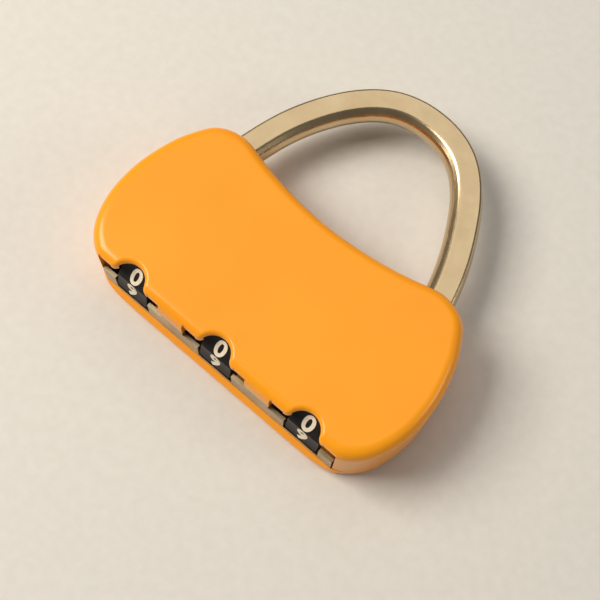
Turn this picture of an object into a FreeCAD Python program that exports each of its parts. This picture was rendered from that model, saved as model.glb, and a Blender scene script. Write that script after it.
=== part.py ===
import FreeCAD, Part
import math
import os

# Handbag-shaped luggage combination padlock, lying on its back. Millimetres.
# +X runs along the case, +Y towards the shackle, +Z out of the front face, z = 0 on the back face.
# Every sub-part is drawn about the case's own reference line, y = 0 just above the widest place,
# and moved down by CENTRE_Y when it is written, so that the origin is below the middle of the lock.

# ---- driving dimensions ----
CASE_T = 11.6                # case thickness, back face to front face
MID_Z = CASE_T / 2           # parting line of the shackle, axis of the dials
SKIN = 0.8                   # thickness of both cover plates
WALL = 0.9                   # thickness of the side walls
CASE_BOTTOM = -16.1          # lower wall of the front cover
BACK_BOTTOM = -16.75         # the back cover's lip stands out a little further
LIP_Z = 2.5                  # top of the back cover's lip
TAB_Z = 8.0                  # lower end of the front cover's tabs between the dials
FRONT_ROUND = 1.7            # rounding of the front edge
BACK_ROUND = 1.2             # rounding of the back edge

PITCH = 15.2                 # spacing of the dials
DIAL_X = {"left": -PITCH, "middle": 0.0, "right": PITCH}
DIAL_Y = -11.5
DIAL_R = 4.75
DIAL_W = 5.3
FIGURES = 10
FIGURE_TILT = 43.0           # the figure that is read faces this far below the front normal

SPINDLE_R = 1.1
FIT = 0.08                   # radial clearance of every running fit
LUG_X = 3.5                  # lug's left face from the dial's middle, lock released
LUG_T = 0.6
LUG_R = 1.9

BAND_INNER = 2.5             # shackle's centre line to its inner flank
BAND_OUTER = 2.28            # and to its outer flank
BAND_T = 3.7
PIVOT = (-18.6, 4.5)
PIN_R = 1.3

SHACKLE_TOP = 33.95
CENTRE_Y = (SHACKLE_TOP + BACK_BOTTOM) / 2

# right half of the case outline, from the middle of the top edge down to the bottom corner
OUTLINE = [
    (0.0, 7.65), (5.0, 7.9), (10.0, 8.6), (14.0, 9.5), (17.6, 10.25), (20.2, 9.8), (22.1, 8.65),
    (23.45, 6.75), (24.6, 4.5), (25.55, 1.6), (26.2, -1.5), (26.42, -4.8), (26.22, -7.6),
    (25.5, -10.5), (24.2, -13.15), (22.3, -15.1),
]
# bottom edge: x, rise above the bottom line, and how much of the back lip's extra depth is reached
BOTTOM_EDGE = [(20.9, 0.24, 0.25), (19.2, 0.0, 0.6), (17.0, 0.0, 0.9), (14.0, 0.0, 1.0), (11.0, 0.0, 1.0),
               (8.0, 0.0, 1.0), (4.0, 0.0, 1.0), (0.0, 0.0, 1.0)]

SCREWS = [(-6.2, 4.0), (6.2, 4.0), (-22.5, -3.0), (22.5, -3.0)]


def vec(x, y, z=0.0):
    return FreeCAD.Vector(x, y, z)


def box(x0, x1, y0, y1, z0, z1):
    return Part.makeBox(x1 - x0, y1 - y0, z1 - z0, vec(x0, y0, z0))


def rod(radius, start, end):
    """Cylinder from one point to another."""
    axis = vec(*end) - vec(*start)
    return Part.makeCylinder(radius, axis.Length, vec(*start), axis)


def tube(outer, inner, start, end):
    return rod(outer, start, end).cut(rod(inner, start, end))


def fuse(solids):
    joined = solids[0]
    for solid in solids[1:]:
        joined = joined.fuse(solid)
    return joined.removeSplitter()


def prism(points, z0, z1):
    """Upright prism over a polygon given as (x, y) points."""
    corners = [vec(x, y, z0) for x, y in points]
    face = Part.Face(Part.makePolygon(corners + corners[:1]))
    return face.extrude(vec(0, 0, z1 - z0))


def case_curve(bottom, z):
    """Case outline: one smooth closed curve with an almost straight bottom edge."""
    extra = bottom - CASE_BOTTOM
    right = OUTLINE + [(x, CASE_BOTTOM + rise + share * extra) for x, rise, share in BOTTOM_EDGE]
    left = [(-x, y) for x, y in reversed(right[1:-1])]
    ring = [vec(x, y, z) for x, y in left + right]
    seam = 11                # the curve starts and ends on the plain left side
    curve = Part.BSplineCurve()
    curve.interpolate(Points=ring[seam:] + ring[:seam], PeriodicFlag=True)
    return curve


def inset_curve(curve, inset):
    """The same closed curve, moved inwards by a constant distance."""
    first = curve.FirstParameter
    span = curve.LastParameter - first
    steps = 60
    points = []
    for k in range(steps):
        at = first + span * k / steps
        along = curve.tangent(at)[0]
        points.append(curve.value(at) + vec(along.y, -along.x) * inset)
    smaller = Part.BSplineCurve()
    smaller.interpolate(Points=points, PeriodicFlag=True)
    return smaller


def case_prism(bottom, inset, z0, z1):
    curve = case_curve(bottom, z0)
    if inset:
        curve = inset_curve(curve, inset)
    return Part.Face(Part.Wire([curve.toShape()])).extrude(vec(0, 0, z1 - z0))


def level_edges(solid, z):
    """Edges that lie wholly at one height."""
    return [e for e in solid.Edges if abs(e.BoundBox.ZMin - z) < 1e-4 and abs(e.BoundBox.ZMax - z) < 1e-4]


# ---- front cover ----

SLOT_HALF = 5.5              # half width of each dial's slot in the lower wall
WINDOW_HALF = 20.6           # half width of the opening that the strip fills
SHOULDER = -15.8             # the face ends here between arch and tab
ARCH_R = 2.45                # arched notch in the face over each dial
ARCH_Y = -16.05
BEND_R = 0.9                 # soft bend between arch and shoulder
RIM_ROUND = 0.6              # soft edge along slots and arches
SOFT_HALF = 3.3              # the soft rim reaches this far from the dial's middle
SHOULDER_STEP = 0.08         # beyond it the shoulder is sharp and this much further in
SLOT_INNER_Y = CASE_BOTTOM + WALL + 0.05
SLOT_TOP = 9.9               # ceiling of a slot
OUTSIDE_Y = -20.0            # safely outside the lower wall


def line(a, b):
    return Part.LineSegment(a, b).toShape()


def slot_outline(x):
    """Outline of a slot's middle: an arch that bends softly into a short shoulder on either side."""
    rise = SHOULDER + BEND_R - ARCH_Y
    run = math.sqrt((ARCH_R + BEND_R) ** 2 - rise ** 2)
    edges = []
    arch_ends = []
    outer_ends = []
    for side in (-1, 1):
        centre = vec(x + side * run, SHOULDER + BEND_R)
        to_arch = (vec(x, ARCH_Y) - centre).normalize()
        down = vec(0, -1)
        middle = (to_arch + down).normalize()
        foot = centre + down * BEND_R
        top = centre + to_arch * BEND_R
        corner = vec(x + side * (SOFT_HALF + 0.3), SHOULDER)
        outside = vec(corner.x, OUTSIDE_Y)
        outer_ends.append(outside)
        edges.append(line(outside, corner))
        edges.append(line(corner, foot))
        edges.append(Part.Arc(foot, centre + middle * BEND_R, top).toShape())
        arch_ends.append(top)
    edges.append(Part.Arc(arch_ends[0], vec(x, ARCH_Y + ARCH_R), arch_ends[1]).toShape())
    edges.append(line(*outer_ends))
    return Part.Wire(Part.__sortEdges__(edges))


def dial_slot(x):
    """Cut for one dial: the wall is open, and the face has an arched notch."""
    through = Part.Face(slot_outline(x)).extrude(vec(0, 0, CASE_T + 2))
    through.translate(vec(0, 0, -1))
    return through


def slot_wings(x):
    """The two outer ends of a slot, cut after the rim is rounded, and the room behind the rim."""
    left = box(x - SLOT_HALF, x - SOFT_HALF, OUTSIDE_Y, SHOULDER + SHOULDER_STEP, -1, CASE_T + 1)
    right = box(x + SOFT_HALF, x + SLOT_HALF, OUTSIDE_Y, SHOULDER + SHOULDER_STEP, -1, CASE_T + 1)
    behind = box(x - SLOT_HALF, x + SLOT_HALF, OUTSIDE_Y, SLOT_INNER_Y, -1, SLOT_TOP)
    return left.fuse(right).fuse(behind)


def on_slot_rim(edge):
    """True for an outer edge that runs along an arch, its bends or the shoulders beside it."""
    first, last = edge.ParameterRange
    middle = edge.valueAt((first + last) / 2)
    upright = edge.BoundBox.ZLength > 0.5 * edge.Length
    if upright or middle.z < SLOT_TOP + 0.1:
        return False
    over_dial = any(abs(middle.x - x) < SOFT_HALF + 0.25 for x in DIAL_X.values())
    return over_dial and middle.y < ARCH_Y + ARCH_R + 0.05


def leg_slots():
    """Openings in the top wall: the right one lets the toe out, the left one lets the leg swing."""
    toe = box(14.2, 20.9, 5.5, 12, 3.5, 8.1)
    heel = box(-24.6, -14.2, 6.0, 12, 3.5, 8.1)
    return toe.fuse(heel)


def front_cover():
    shell = case_prism(CASE_BOTTOM, 0, LIP_Z + 0.05, CASE_T)
    shell = shell.makeFillet(FRONT_ROUND, level_edges(shell, CASE_T))
    for x in DIAL_X.values():
        shell = shell.cut(dial_slot(x))
    shell = shell.makeFillet(RIM_ROUND, [e for e in shell.Edges if on_slot_rim(e)])
    shell = shell.cut(case_prism(CASE_BOTTOM, WALL, -1, CASE_T - SKIN))
    shell = shell.cut(box(-WINDOW_HALF, WINDOW_HALF, OUTSIDE_Y, CASE_BOTTOM + WALL + 0.7, -1, TAB_Z))
    for x in DIAL_X.values():
        shell = shell.cut(slot_wings(x))
    shell = shell.cut(leg_slots())
    shell = shell.cut(rod(1.0 + FIT, (0, 5, MID_Z), (0, 9, MID_Z)))
    inside = CASE_T - SKIN
    shell = shell.fuse(tube(2.4, PIN_R, (*PIVOT, 8.6), (*PIVOT, inside)))
    for x, y in SCREWS:
        post = rod(1.5, (x, y, 3.0), (x, y, inside))
        shell = shell.fuse(post.cut(rod(0.7, (x, y, 2.0), (x, y, 9.6))))
    return shell


# ---- back cover ----

def lip_bevel():
    """Wedge that slopes the outer side of the lip along the bottom edge."""
    slope = (LIP_Z - 1.55) / (-16.1 - BACK_BOTTOM)
    inner = -15.9
    outer = -18.0
    section = [(inner, LIP_Z + (inner + 16.1) * slope), (inner, LIP_Z + 1), (outer, LIP_Z + 1),
               (outer, LIP_Z + (outer + 16.1) * slope)]
    corners = [vec(-24, y, z) for y, z in section]
    return Part.Face(Part.makePolygon(corners + corners[:1])).extrude(vec(48, 0, 0))


def back_cover():
    shell = case_prism(BACK_BOTTOM, 0, 0, LIP_Z)
    shell = shell.makeFillet(BACK_ROUND, level_edges(shell, 0.0))
    shell = shell.cut(case_prism(BACK_BOTTOM, 1.15, SKIN, LIP_Z + 1))
    shell = shell.cut(lip_bevel())
    pads = [rod(2.2, (x, y, SKIN), (x, y, 2.95)) for x, y in SCREWS]
    boss = rod(2.4, (*PIVOT, SKIN), (*PIVOT, 3.0))
    shell = fuse([shell, boss] + pads)
    for x, y in SCREWS:
        shell = shell.cut(rod(0.8, (x, y, -1), (x, y, 5)))
        shell = shell.cut(rod(1.5, (x, y, -1), (x, y, 1.1)))
    return shell.cut(rod(PIN_R, (*PIVOT, SKIN), (*PIVOT, 5)))


def case_screw(x, y):
    """Countersunk cross-head screw, put in from the back."""
    head = rod(1.4, (x, y, 0.15), (x, y, 1.1))
    head = head.makeFillet(0.2, level_edges(head, 0.15))
    shank = rod(0.68, (x, y, 1.0), (x, y, 9.0))
    cross = box(x - 0.85, x + 0.85, y - 0.16, y + 0.16, 0, 0.65)
    cross = cross.fuse(box(x - 0.16, x + 0.16, y - 0.85, y + 0.85, 0, 0.65))
    return head.fuse(shank).cut(cross)


# ---- frame between the covers ----

FRAME_WALLS = [(-20.2, -19.4), (-8.1, -6.9), (6.9, 7.9), (20.65, 21.4)]
SHELF_Y = (-5.9, -5.2)
STRIP_Y = (-16.05, -15.5)
STRIP_Z = 6.6                # top of the strip beside the dials


def frame_hole(x0, x1):
    """Bearing hole for the spindle with a keyway for its lugs."""
    hole = rod(SPINDLE_R + FIT, (x0 - 1, DIAL_Y, MID_Z), (x1 + 1, DIAL_Y, MID_Z))
    key = box(x0 - 1, x1 + 1, DIAL_Y - 0.65, DIAL_Y + 0.65, MID_Z, MID_Z + LUG_R + 0.2)
    return hole.fuse(key)


def dial_room(solid):
    """Clears a solid round the three dials."""
    for x in DIAL_X.values():
        solid = solid.cut(rod(DIAL_R + 0.3, (x - 3.0, DIAL_Y, MID_Z), (x + 3.0, DIAL_Y, MID_Z)))
    return solid


def lock_frame():
    """Bearing walls on a shelf, with two feet that carry the strip."""
    low = -14.9
    walls = [box(x0, x1, low, SHELF_Y[1], 1.0, CASE_T - 1.0) for x0, x1 in FRAME_WALLS]
    shelf = box(FRAME_WALLS[0][0], FRAME_WALLS[-1][1], SHELF_Y[0], SHELF_Y[1], 1.0, CASE_T - 1.0)
    post = box(-7.2, -6.2, SHELF_Y[1], -2.4, MID_Z - 1.0, MID_Z + 1.0)
    inner = fuse(walls + [shelf, post]).common(case_prism(CASE_BOTTOM, WALL + 0.35, 0, CASE_T))
    feet = [box(x0, x1, STRIP_Y[1], low + 0.3, LIP_Z + 0.1, STRIP_Z) for x0, x1 in FRAME_WALLS[1:3]]
    frame = fuse([inner] + feet)
    for x0, x1 in FRAME_WALLS:
        frame = frame.cut(frame_hole(x0, x1))
    arm_window = box(7.95, 10.95, -6.5, -5.0, MID_Z - 2.0, MID_Z + 2.0)
    return dial_room(frame).cut(arm_window)


def frame_strip():
    """Thin strip between the covers, hollowed for the dials and higher behind the tabs."""
    low = box(-WINDOW_HALF + 0.15, WINDOW_HALF - 0.15, *STRIP_Y, LIP_Z + 0.1, STRIP_Z)
    high_half = PITCH / 2 - SLOT_HALF - 0.15
    high = [box(x - high_half, x + high_half, *STRIP_Y, LIP_Z + 0.1, TAB_Z - 0.15)
            for x in (-PITCH / 2, PITCH / 2)]
    return dial_room(fuse([low] + high))


# ---- dials, sleeves and spindle ----

def dial(x):
    """Ring with ten flats for the figures and a rounded tooth between each two."""
    ring = rod(DIAL_R, (x - DIAL_W / 2, DIAL_Y, MID_Z), (x + DIAL_W / 2, DIAL_Y, MID_Z))
    ring = ring.makeFillet(0.35, [e for e in ring.Edges if e.Curve.TypeId == "Part::GeomCircle"])
    step = 360.0 / FIGURES
    scoop_r = 9.0
    scoop_depth = 0.42
    for k in range(FIGURES):
        turn = math.radians(-FIGURE_TILT + k * step)
        reach = DIAL_R - scoop_depth + scoop_r
        y = DIAL_Y + reach * math.sin(turn)
        z = MID_Z + reach * math.cos(turn)
        ring = ring.cut(rod(scoop_r, (x - DIAL_W, y, z), (x + DIAL_W, y, z)))
    return ring.cut(rod(2.7, (x - DIAL_W, DIAL_Y, MID_Z), (x + DIAL_W, DIAL_Y, MID_Z)))


def sleeve(x):
    """Clutch sleeve: detent wheel, tube pressed into the dial, and a gated flange."""
    wheel = rod(2.95, (x - 4.05, DIAL_Y, MID_Z), (x - DIAL_W / 2, DIAL_Y, MID_Z))
    for k in range(FIGURES):
        turn = 2 * math.pi * k / FIGURES
        y = DIAL_Y + 3.15 * math.cos(turn)
        z = MID_Z + 3.15 * math.sin(turn)
        wheel = wheel.cut(rod(0.5, (x - 5, y, z), (x - DIAL_W / 2, y, z)))
    barrel = rod(2.7, (x - DIAL_W / 2, DIAL_Y, MID_Z), (x + 5.0, DIAL_Y, MID_Z))
    body = wheel.fuse(barrel)
    body = body.cut(rod(SPINDLE_R + FIT, (x - 6, DIAL_Y, MID_Z), (x + 6, DIAL_Y, MID_Z)))
    body = body.cut(rod(2.1, (x + 2.9, DIAL_Y, MID_Z), (x + 4.5, DIAL_Y, MID_Z)))
    gate = box(x + 4.4, x + 5.1, DIAL_Y - 0.65, DIAL_Y + 0.65, MID_Z, MID_Z + LUG_R + 0.2)
    return body.cut(gate)


def spindle():
    """Sliding shaft with one lug for each dial."""
    shaft = rod(SPINDLE_R, (-22.7, DIAL_Y, MID_Z), (FRAME_WALLS[-1][1], DIAL_Y, MID_Z))
    lugs = []
    for x in DIAL_X.values():
        x0 = x + LUG_X
        lugs.append(box(x0, x0 + LUG_T, DIAL_Y - 0.45, DIAL_Y + 0.45, MID_Z, MID_Z + LUG_R))
    return fuse([shaft] + lugs)


def spindle_clip():
    """Open retaining ring on the left end of the spindle."""
    ring = tube(2.0, SPINDLE_R, (-22.4, DIAL_Y, MID_Z), (-22.05, DIAL_Y, MID_Z))
    return ring.cut(box(-23, -21, DIAL_Y - 0.7, DIAL_Y + 0.7, MID_Z, MID_Z + 3))


def latch_plate():
    """Bent plate on the spindle: arm, slide and the hook that enters the toe's notch."""
    z0 = MID_Z - 0.6
    z1 = MID_Z + 0.6
    arm = box(8.2, 9.0, DIAL_Y - 1.8, -4.8, MID_Z - 1.6, MID_Z + 1.6)
    arm = arm.cut(rod(SPINDLE_R, (8, DIAL_Y, MID_Z), (10, DIAL_Y, MID_Z)))
    plate = box(2.5, 11.5, -4.8, -1.8, z0, z1)
    riser = box(9.5, 11.5, -1.8, 3.2, z0, z1)
    hook = prism([(11.5, 1.8), (15.0, 1.8), (15.0, 2.7), (14.5, 3.2), (11.5, 3.2)], z0, z1)
    return fuse([arm, plate, riser, hook])


def coil(wire_r, coil_r, pitch, start, end):
    """Round-wire helical spring between two points."""
    axis = vec(*end) - vec(*start)
    helix = Part.makeHelix(pitch, axis.Length, coil_r)
    section = Part.Wire(Part.makeCircle(wire_r, vec(coil_r, 0, 0), vec(0, 1, 0)))
    spring = Part.Wire(helix.Edges).makePipeShell([section], True, True)
    turn = FreeCAD.Rotation(vec(0, 0, 1), axis)
    spring.Placement = FreeCAD.Placement(vec(*start), turn)
    return spring


def latch_spring():
    """Return spring of the latch, between the frame's post and the plate."""
    return coil(0.18, 1.0, 0.62, (-6.0, -3.5, MID_Z), (2.1, -3.5, MID_Z))


def detent_spring(x):
    """Leaf spring whose nose sits in a notch of the detent wheel."""
    nose = [(8.9, -5.95), (8.9, -6.2), (6.7, -6.5), (6.05, -8.55), (5.55, -8.55), (5.2, -6.4),
            (3.6, -6.2), (3.6, -5.95)]
    corners = [vec(x - 3.95, y, z) for z, y in nose]
    face = Part.Face(Part.makePolygon(corners + corners[:1]))
    return face.extrude(vec(1.0, 0, 0))


# ---- shackle and its pivot ----

def rounded_band():
    """Cross-section of the shackle: flat faces, a wide bevel inside, steep flanks with a parting line."""
    half_t = BAND_T / 2
    upper = [(BAND_INNER, 0), (BAND_INNER - 0.28, half_t - 0.75), (BAND_INNER - 1.15, half_t),
             (-BAND_OUTER + 0.5, half_t), (-BAND_OUTER, 0)]
    points = upper + [(x, -z) for x, z in reversed(upper[1:-1])]
    soft = 0.3
    edges = []
    ends = []
    for k, (px, pz) in enumerate(points):
        before = points[k - 1]
        after = points[(k + 1) % len(points)]
        corner = vec(px, 0, pz)
        to_before = (vec(before[0], 0, before[1]) - corner).normalize() * soft
        to_after = (vec(after[0], 0, after[1]) - corner).normalize() * soft
        bulge = (to_before + to_after) * 0.27
        ends.append((corner + to_before, corner + to_after))
        edges.append(Part.Arc(ends[-1][0], corner + bulge, ends[-1][1]).toShape())
    for k in range(len(points)):
        edges.append(line(ends[k][1], ends[(k + 1) % len(points)][0]))
    return Part.Wire(Part.__sortEdges__(edges))


def shackle():
    route = [
        PIVOT, (-18.3, 8.0), (-17.5, 12.1), (-16.2, 16.9), (-14.1, 21.7), (-10.9, 26.5), (-6.2, 30.4),
        (0.0, SHACKLE_TOP - BAND_OUTER), (6.15, 30.05), (10.6, 25.9), (13.4, 21.25), (15.5, 16.65),
        (17.0, 12.0), (17.7, 8.5), (17.9, 5.0), (17.9, 0.0),
    ]
    spine = Part.BSplineCurve()
    spine.interpolate([vec(x, y, MID_Z) for x, y in route])
    start = spine.tangent(spine.FirstParameter)[0]
    section = rounded_band()
    turn = FreeCAD.Rotation(vec(0, 1, 0), start)
    section.Placement = FreeCAD.Placement(vec(*PIVOT, MID_Z), turn)
    path = Part.Wire(spine.toShape())
    band = path.makePipeShell([section], True, False)
    heel = rod(2.6, (*PIVOT, 3.6), (*PIVOT, 8.0))
    body = band.fuse(heel)
    notch = box(15.0, 17.2, 1.5, 3.5, 0, CASE_T)
    body = body.cut(notch)
    return body.cut(rod(PIN_R + 0.06, (*PIVOT, 0), (*PIVOT, CASE_T)))


def shackle_pin():
    return rod(PIN_R, (*PIVOT, SKIN + 0.05), (*PIVOT, CASE_T - SKIN - 0.05))


def shackle_washer(z0):
    return tube(2.3, PIN_R, (*PIVOT, z0), (*PIVOT, z0 + 0.45))


# ---- change button ----

def reset_button():
    """Round pin in the top edge that is pushed in to change the code."""
    pin = rod(1.0, (0, 1.9, MID_Z), (0, 8.35, MID_Z))
    tip = [e for e in pin.Edges if e.Curve.TypeId == "Part::GeomCircle" and e.BoundBox.YMin > 8]
    pin = pin.makeFillet(0.35, tip)
    return pin.fuse(rod(1.6, (0, 5.85, MID_Z), (0, 6.35, MID_Z)))


def reset_guide():
    plate = box(-3.2, 3.2, 2.8, 3.4, SKIN + 0.05, CASE_T - SKIN - 0.05)
    return plate.cut(rod(1.0 + FIT, (0, 0, MID_Z), (0, 5, MID_Z)))


def reset_spring():
    return coil(0.18, 1.3, 0.62, (0, 3.6, MID_Z), (0, 4.84, MID_Z))


def all_parts():
    parts = {
        "front_cover": front_cover(),
        "back_cover": back_cover(),
        "lock_frame": lock_frame(),
        "frame_strip": frame_strip(),
        "spindle": spindle(),
        "spindle_clip": spindle_clip(),
        "latch_plate": latch_plate(),
        "latch_spring": latch_spring(),
        "shackle": shackle(),
        "shackle_pin": shackle_pin(),
        "shackle_washer_back": shackle_washer(3.06),
        "shackle_washer_front": shackle_washer(8.09),
        "reset_button": reset_button(),
        "reset_guide": reset_guide(),
        "reset_spring": reset_spring(),
    }
    for name, x in DIAL_X.items():
        parts["dial_" + name] = dial(x)
        parts["sleeve_" + name] = sleeve(x)
        parts["detent_spring_" + name] = detent_spring(x)
    for number, (x, y) in enumerate(SCREWS, start=1):
        parts["case_screw_%d" % number] = case_screw(x, y)
    return parts


os.makedirs("parts", exist_ok=True)
for node, shape in all_parts().items():
    shape.translate(vec(0, -CENTRE_Y, 0))
    shape.exportStep("parts/%s.step" % node)
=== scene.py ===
import math

import bpy
from mathutils import Matrix, Vector


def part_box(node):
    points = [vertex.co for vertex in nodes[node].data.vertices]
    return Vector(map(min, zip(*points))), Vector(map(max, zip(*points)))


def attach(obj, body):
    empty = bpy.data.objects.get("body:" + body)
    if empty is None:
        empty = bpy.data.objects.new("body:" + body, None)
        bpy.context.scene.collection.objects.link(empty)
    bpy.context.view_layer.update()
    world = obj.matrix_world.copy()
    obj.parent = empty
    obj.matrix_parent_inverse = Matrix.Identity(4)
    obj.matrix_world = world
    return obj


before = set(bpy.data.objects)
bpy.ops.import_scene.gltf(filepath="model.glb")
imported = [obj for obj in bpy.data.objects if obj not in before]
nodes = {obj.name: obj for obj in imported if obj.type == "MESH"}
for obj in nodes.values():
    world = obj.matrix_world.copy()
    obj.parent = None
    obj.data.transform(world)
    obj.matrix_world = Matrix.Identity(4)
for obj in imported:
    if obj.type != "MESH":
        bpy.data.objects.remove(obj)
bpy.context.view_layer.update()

# ---------------------------------------------------------------------------------------------
# Shared tools. Every material is procedural and lies on Object coordinates, in metres, so that
# its grain has the same real size on each piece. Colours are written as six sRGB hex digits.
# ---------------------------------------------------------------------------------------------


def linear(hex_colour):
    """Linear RGBA of an sRGB colour given as six hex digits."""
    parts = [int(hex_colour[k:k + 2], 16) / 255 for k in (0, 2, 4)]
    return [c / 12.92 if c <= 0.04045 else ((c + 0.055) / 1.055) ** 2.4 for c in parts] + [1.0]


def add_node(tree, kind, inputs=None, **settings):
    """Adds a node with its settings; an input is a value or another node's output."""
    node = tree.nodes.new("ShaderNode" + kind)
    for name, value in settings.items():
        setattr(node, name, value)
    for name, value in (inputs or {}).items():
        if isinstance(value, bpy.types.NodeSocket):
            tree.links.new(value, node.inputs[name])
        else:
            node.inputs[name].default_value = value
    return node


def new_material(name):
    """Empty node material: returns it, its tree and the Object coordinates."""
    material = bpy.data.materials.new(name)
    material.use_nodes = True
    tree = material.node_tree
    tree.nodes.clear()
    place = add_node(tree, "TexCoord").outputs["Object"]
    return material, tree, place


def finish_material(tree, inputs):
    """Gives the material a surface with these inputs."""
    shader = add_node(tree, "BsdfPrincipled", inputs)
    tree.links.new(shader.outputs["BSDF"], add_node(tree, "OutputMaterial").inputs["Surface"])


def colour_ramp(tree, factor, stops):
    """Ramp between sRGB colours placed along 0 to 1."""
    ramp = add_node(tree, "ValToRGB", {"Fac": factor})
    for k, (at, colour) in enumerate(stops):
        stop = ramp.color_ramp.elements[k] if k < 2 else ramp.color_ramp.elements.new(at)
        stop.position = at
        stop.color = linear(colour)
    return ramp.outputs["Color"]


def noise(tree, place, scale, detail):
    """Cloudy noise from 0 to 1; its patches are about 1 / scale metres across."""
    inputs = {"Vector": place, "Scale": scale, "Detail": detail}
    return add_node(tree, "TexNoise", inputs).outputs["Fac"]


def value_range(tree, factor, low, high):
    """Carries a texture's 0 to 1 over to low to high."""
    inputs = {"Value": factor, "To Min": low, "To Max": high}
    return add_node(tree, "MapRange", inputs).outputs["Result"]


def relief(tree, factor, strength, depth):
    """Normal of a surface that a texture raises by up to depth metres, softened by strength."""
    inputs = {"Height": factor, "Strength": strength, "Distance": depth}
    return add_node(tree, "Bump", inputs).outputs["Normal"]


def paint(names, material):
    for name in names:
        nodes[name].data.materials.clear()
        nodes[name].data.materials.append(material)


# ---------------------------------------------------------------------------------------------
# Case covers. Two zinc shells, cast thin, sprayed with orange lacquer and baked. The front one
# carries the walls and the notched lower edge, the back one is a shallow tray under it.
# ---------------------------------------------------------------------------------------------


def baked_orange_lacquer():
    """Sprayed and baked enamel lacquer: an even warm orange under a clear glossy skin. It waves
    faintly, about 2 mm from crest to crest, which softens reflections, and its colour drifts."""
    material, tree, place = new_material("baked_orange_lacquer")
    drift = noise(tree, place, 45.0, 2.0)
    colour = colour_ramp(tree, drift, [(0.3, "FC9D14"), (0.7, "FEA51A")])
    waves = noise(tree, place, 500.0, 1.0)
    specks = noise(tree, place, 4000.0, 2.0)
    rough = value_range(tree, specks, 0.26, 0.33)
    bump = relief(tree, waves, 0.03, 0.0004)
    finish_material(tree, {
        "Base Color": colour, "Roughness": rough, "IOR": 1.4, "Coat Weight": 0.1,
        "Coat Roughness": 0.12, "Coat IOR": 1.5, "Normal": bump,
    })
    return material


paint(["front_cover", "back_cover"], baked_orange_lacquer())

# ---------------------------------------------------------------------------------------------
# Frame. A zinc casting between the covers holds the spindle, painted near-black as painted shade
# for the dark inside of the case. In front of it sits the nickel-plated strip seen between the
# orange shells; the change button's guide plate matches it.
# ---------------------------------------------------------------------------------------------


def plated_zinc_casting():
    """Nickel over as-cast zinc: dull pale metal with a fine grain about 0.2 mm across."""
    material, tree, place = new_material("plated_zinc_casting")
    grain = noise(tree, place, 5000.0, 3.0)
    cloud = noise(tree, place, 300.0, 2.0)
    colour = colour_ramp(tree, cloud, [(0.35, "A79C82"), (0.65, "BCB197")])
    rough = value_range(tree, grain, 0.36, 0.52)
    bump = relief(tree, grain, 0.15, 0.00003)
    finish_material(tree, {
        "Base Color": colour, "Metallic": 1.0, "Roughness": rough, "Normal": bump,
    })
    return material


def blackened_zinc_casting():
    """Zinc casting painted near-black, as painted shade for the dark inside of the case: almost
    matt, mottled over about 2 mm.
    """
    material, tree, place = new_material("blackened_zinc_casting")
    dark_mottle = noise(tree, place, 500.0, 4.0)
    # near-black painted shade for the case's inside, mottled at random
    colour = colour_ramp(tree, dark_mottle, [(0.35, "14110E"), (0.7, "231E19")])
    rough = value_range(tree, dark_mottle, 0.55, 0.75)
    bump = relief(tree, dark_mottle, 0.15, 0.00003)
    finish_material(tree, {
        "Base Color": colour, "Roughness": rough, "IOR": 1.45, "Normal": bump,
    })
    return material


paint(["frame_strip", "reset_guide"], plated_zinc_casting())
# the frame's near-black is painted shade for the dark inside of the case
paint(["lock_frame"], blackened_zinc_casting())

# ---------------------------------------------------------------------------------------------
# Shackle. One zinc or steel arch with flat faces and bevelled flanks, tumbled smooth and plated
# in pale champagne nickel. It turns on the pin in the left lobe.
# ---------------------------------------------------------------------------------------------


def champagne_nickel_plate():
    """Satin nickel plating over a tumbled blank: warm pale metal, smooth on the flats, with fine
    hairlines from handling and slightly duller patches a few millimetres wide."""
    material, tree, place = new_material("champagne_nickel_plate")
    patch = noise(tree, place, 220.0, 3.0)
    colour = colour_ramp(tree, patch, [(0.3, "C9B28C"), (0.7, "D6C09B")])
    hairline = (300.0, 3500.0, 3500.0)   # long along X, thin across it
    stretched = add_node(tree, "Mapping", {"Vector": place, "Scale": hairline}).outputs["Vector"]
    lines = noise(tree, stretched, 1.0, 3.0)
    rough = value_range(tree, lines, 0.20, 0.30)
    bump = relief(tree, lines, 0.04, 0.00002)
    finish_material(tree, {
        "Base Color": colour, "Metallic": 1.0, "Roughness": rough, "Normal": bump,
    })
    return material


paint(["shackle"], champagne_nickel_plate())

# ---------------------------------------------------------------------------------------------
# Dials. Three moulded black rings on the spindle's axis, each with ten hollowed flats. The
# figures 0 to 9 are printed on the flats in cream ink, and 0 faces the reader at rest.
# ---------------------------------------------------------------------------------------------


def moulded_black_abs():
    """Injection-moulded black ABS: deep warm black with a fine spark-eroded grain of 0.15 mm."""
    material, tree, place = new_material("moulded_black_abs")
    grain = noise(tree, place, 7000.0, 2.0)
    dust = noise(tree, place, 900.0, 4.0)
    colour = colour_ramp(tree, dust, [(0.45, "120E0B"), (0.75, "211A16")])
    rough = value_range(tree, grain, 0.4, 0.55)
    bump = relief(tree, grain, 0.12, 0.00002)
    finish_material(tree, {
        "Base Color": colour, "Roughness": rough, "IOR": 1.42, "Normal": bump,
    })
    return material


def cream_pad_print():
    """Pad-printed two-part ink: warm white, matt, a little uneven where the pad lifted."""
    material, tree, place = new_material("cream_pad_print")
    cover = noise(tree, place, 3500.0, 3.0)
    colour = colour_ramp(tree, cover, [(0.3, "EADBC3"), (0.6, "F6EBD8")])
    bump = relief(tree, cover, 0.1, 0.00002)
    finish_material(tree, {
        "Base Color": colour, "Roughness": 0.5, "IOR": 1.5, "Normal": bump,
    })
    return material


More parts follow.
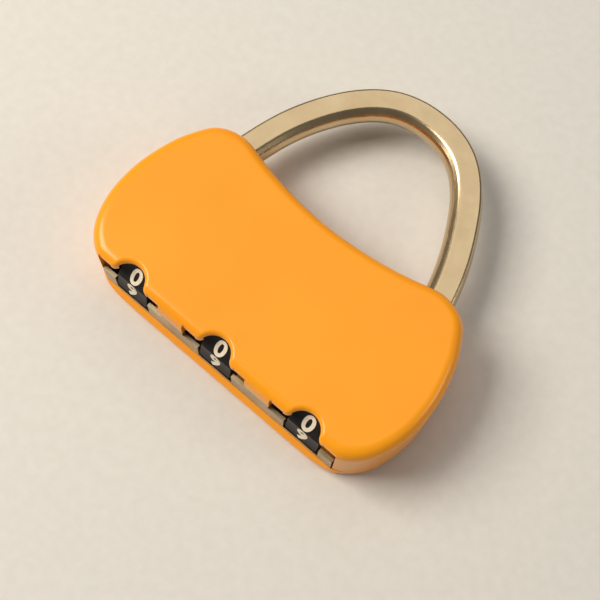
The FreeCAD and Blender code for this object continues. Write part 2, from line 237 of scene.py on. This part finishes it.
FIGURES = 10
FIGURE_TURN = math.radians(36.0)   # from one figure to the next round the dial
FACING = math.radians(43.0)        # the figure that is read looks this far below the front
FLAT_DEPTH = 0.00433               # from the dial's axis to the bottom of a flat
HOLLOW_R = 0.009                   # radius of the hollow across a flat
INK_HEIGHT = 0.00006
FIGURE_SIZE = 0.0034
FIGURE_SWELL = 0.00010             # how far the strokes are thickened on each side
FIGURE_STRETCH = 1.06              # wider than the typeface draws it
OUTLINE_STEPS = 6                  # a finer outline crosses itself and 6 and 9 lose their fill
BAND_HEIGHT = 0.0003               # figures are sliced into bands this high so that they can bend
BANDS_EACH_WAY = 4


def flat_figure(digit):
    """One figure as a thin flat mesh, cut into bands across its height."""
    bpy.ops.object.select_all(action="DESELECT")
    bpy.ops.object.text_add(location=(0, 0, 0))
    text = bpy.context.object
    text.data.body = str(digit)
    text.data.size = FIGURE_SIZE
    text.data.align_x = "CENTER"
    text.data.align_y = "CENTER"
    text.data.extrude = INK_HEIGHT / 2
    text.data.offset = FIGURE_SWELL
    text.data.resolution_u = OUTLINE_STEPS
    bpy.ops.object.convert(target="MESH")
    bpy.ops.object.mode_set(mode="EDIT")
    for step in range(-BANDS_EACH_WAY, BANDS_EACH_WAY + 1):
        bpy.ops.mesh.select_all(action="SELECT")
        bpy.ops.mesh.bisect(plane_co=(0, step * BAND_HEIGHT, 0), plane_no=(0, 1, 0))
    bpy.ops.object.mode_set(mode="OBJECT")
    return bpy.context.object


def bend_to_flat(figure):
    """Centres a figure, widens it and lays it in the hollow of a flat that faces +Z."""
    xs = [v.co.x for v in figure.data.vertices]
    ys = [v.co.y for v in figure.data.vertices]
    middle = Vector(((max(xs) + min(xs)) / 2, (max(ys) + min(ys)) / 2, 0))
    for vertex in figure.data.vertices:
        vertex.co -= middle
        vertex.co.x *= FIGURE_STRETCH
        dip = FLAT_DEPTH + HOLLOW_R - math.sqrt(HOLLOW_R ** 2 - vertex.co.y ** 2)
        vertex.co.z += dip + INK_HEIGHT / 2


def printed_figures(name, centre, ink):
    """The ten figures of one dial, each bent to its flat, as one piece."""
    pieces = []
    for digit in range(FIGURES):
        figure = flat_figure(digit)
        bend_to_flat(figure)
        figure.data.transform(Matrix.Rotation(FACING - digit * FIGURE_TURN, 4, "X"))
        figure.data.transform(Matrix.Translation(centre))
        figure.data.materials.clear()
        figure.data.materials.append(ink)
        pieces.append(figure)
    bpy.ops.object.select_all(action="DESELECT")
    for piece in pieces:
        piece.select_set(True)
    bpy.context.view_layer.objects.active = pieces[0]
    bpy.ops.object.join()
    joined = bpy.context.object
    joined.name = name
    joined.data.name = name
    return joined


SIDES = ("left", "middle", "right")
ink = cream_pad_print()
# the sleeves take the dials' black as painted shade for the dark inside of the slots
paint([kind + side for kind in ("dial_", "sleeve_") for side in SIDES], moulded_black_abs())
for side in SIDES:
    low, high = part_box("dial_" + side)
    figures = printed_figures("figures_" + side, (low + high) / 2, ink)
    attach(figures, "dial_" + side)

# ---------------------------------------------------------------------------------------------
# Spindle. A turned brass shaft with three lugs that runs through all the dials. It shows only
# deep in the slots, between the dials' sleeves, painted black as shade, and the frame.
# ---------------------------------------------------------------------------------------------


def turned_brass():
    """Free-cutting brass from the lathe, dulled by oil: fine rings round the X axis, 0.2 mm
    apart, under a patchy tarnish."""
    material, tree, place = new_material("turned_brass")
    rings = add_node(tree, "TexWave", {"Vector": place, "Scale": 1600.0, "Distortion": 0.6},
                     wave_type="BANDS", bands_direction="X").outputs["Fac"]
    tarnish = noise(tree, place, 700.0, 4.0)
    colour = colour_ramp(tree, tarnish, [(0.35, "6E5330"), (0.65, "A98549")])
    rough = value_range(tree, tarnish, 0.45, 0.3)
    bump = relief(tree, rings, 0.2, 0.00002)
    finish_material(tree, {
        "Base Color": colour, "Metallic": 1.0, "Roughness": rough, "Normal": bump,
    })
    return material


paint(["spindle"], turned_brass())

# ---------------------------------------------------------------------------------------------
# Steel pieces: the latch plate, the shackle's pin and washers, the change button in the top edge
# and the four cross-head screws in the back, all cut or turned from mild steel and zinc plated.
# ---------------------------------------------------------------------------------------------


def zinc_plated_steel():
    """Bright zinc plate on turned steel: cool grey, with faint turning marks 0.24 mm apart."""
    material, tree, place = new_material("zinc_plated_steel")
    marks = add_node(tree, "TexWave", {"Vector": place, "Scale": 1300.0, "Distortion": 1.5},
                     wave_type="RINGS", rings_direction="Z").outputs["Fac"]
    bloom = noise(tree, place, 600.0, 3.0)
    colour = colour_ramp(tree, bloom, [(0.35, "A3A39F"), (0.65, "BEBDB6")])
    rough = value_range(tree, bloom, 0.25, 0.38)
    bump = relief(tree, marks, 0.12, 0.00002)
    finish_material(tree, {
        "Base Color": colour, "Metallic": 1.0, "Roughness": rough, "Normal": bump,
    })
    return material


paint(["latch_plate", "shackle_pin", "shackle_washer_back", "shackle_washer_front", "reset_button"]
      + ["case_screw_%d" % k for k in (1, 2, 3, 4)], zinc_plated_steel())

# ---------------------------------------------------------------------------------------------
# Springs and clip. Hard-drawn wire coils for latch and button, three strip springs that index
# the dials, and the open ring on the spindle's end, all left in their dark tempered finish.
# ---------------------------------------------------------------------------------------------


def tempered_spring_wire():
    """Oil-tempered spring steel: dark blue-grey scale, slightly mottled, with a dull shine."""
    material, tree, place = new_material("tempered_spring_wire")
    scale = noise(tree, place, 1500.0, 3.0)
    colour = colour_ramp(tree, scale, [(0.35, "3F4145"), (0.65, "6B6C6D")])
    bump = relief(tree, scale, 0.15, 0.00002)
    finish_material(tree, {
        "Base Color": colour, "Metallic": 1.0, "Roughness": 0.35, "Normal": bump,
    })
    return material


paint(["latch_spring", "reset_spring", "spindle_clip"]
      + ["detent_spring_" + side for side in SIDES], tempered_spring_wire())

# ---------------------------------------------------------------------------------------------
# Studio. A pale matt table top under the lock, a soft window from the left, a wide soft ceiling
# panel that the flat metal mirrors, a small panel for the right-hand rims, and the camera.
# ---------------------------------------------------------------------------------------------


def pale_table_paint():
    """Matt emulsion on board: pale warm grey, with a fine roller texture 1.5 mm across."""
    material, tree, place = new_material("pale_table_paint")
    nap = noise(tree, place, 650.0, 3.0)
    colour = colour_ramp(tree, nap, [(0.3, "D9D7D2"), (0.7, "DEDCD8")])
    bump = relief(tree, nap, 0.1, 0.0001)
    finish_material(tree, {
        "Base Color": colour, "Roughness": 0.8, "IOR": 1.45, "Normal": bump,
    })
    return material


TABLE_SIZE = 4.0
bpy.ops.object.select_all(action="DESELECT")
bpy.ops.mesh.primitive_plane_add(size=TABLE_SIZE, location=(0, 0, 0))
table = bpy.context.object
table.name = "table"
table.data.materials.append(pale_table_paint())

LOCK_PLACE = Vector((0, 0, 0))   # on the table, under the middle of the lock


def soft_light(name, place, size, power, colour):
    """Square light panel that looks at the spot where the lock lies."""
    panel = bpy.data.lights.new(name, "AREA")
    panel.size = size
    panel.energy = power
    panel.color = linear(colour)[:3]
    holder = bpy.data.objects.new(name, panel)
    holder.location = place
    holder.rotation_euler = (LOCK_PLACE - Vector(place)).to_track_quat("-Z", "Y").to_euler()
    bpy.context.scene.collection.objects.link(holder)


soft_light("window", (-0.34, -0.16, 0.42), size=0.3, power=3.2, colour="FFF6E8")
soft_light("ceiling", (-0.12, 0.19, 0.5), size=0.44, power=0.58, colour="FFFAF2")
soft_light("side", (0.42, 0.2, 0.24), size=0.16, power=0.4, colour="FFF8EC")

AMBIENT = 0.18
world = bpy.data.worlds.new("studio")
world.use_nodes = True
background = world.node_tree.nodes["Background"]
background.inputs["Color"].default_value = linear("E8E6E2")
background.inputs["Strength"].default_value = AMBIENT
bpy.context.scene.world = world
bpy.context.scene.view_settings.view_transform = "Standard"

CAMERA_PLACE = (0.02962, -0.04694, 0.13514)
CAMERA_TURN = (19.33, -1.56, 40.63)   # degrees round X, Y and Z
lens = bpy.data.cameras.new("camera")
lens.lens = 60.0
lens.sensor_width = 36.0
lens.clip_start = 0.005
camera = bpy.data.objects.new("camera", lens)
camera.location = CAMERA_PLACE
camera.rotation_euler = [math.radians(angle) for angle in CAMERA_TURN]
bpy.context.scene.collection.objects.link(camera)
bpy.context.scene.camera = camera
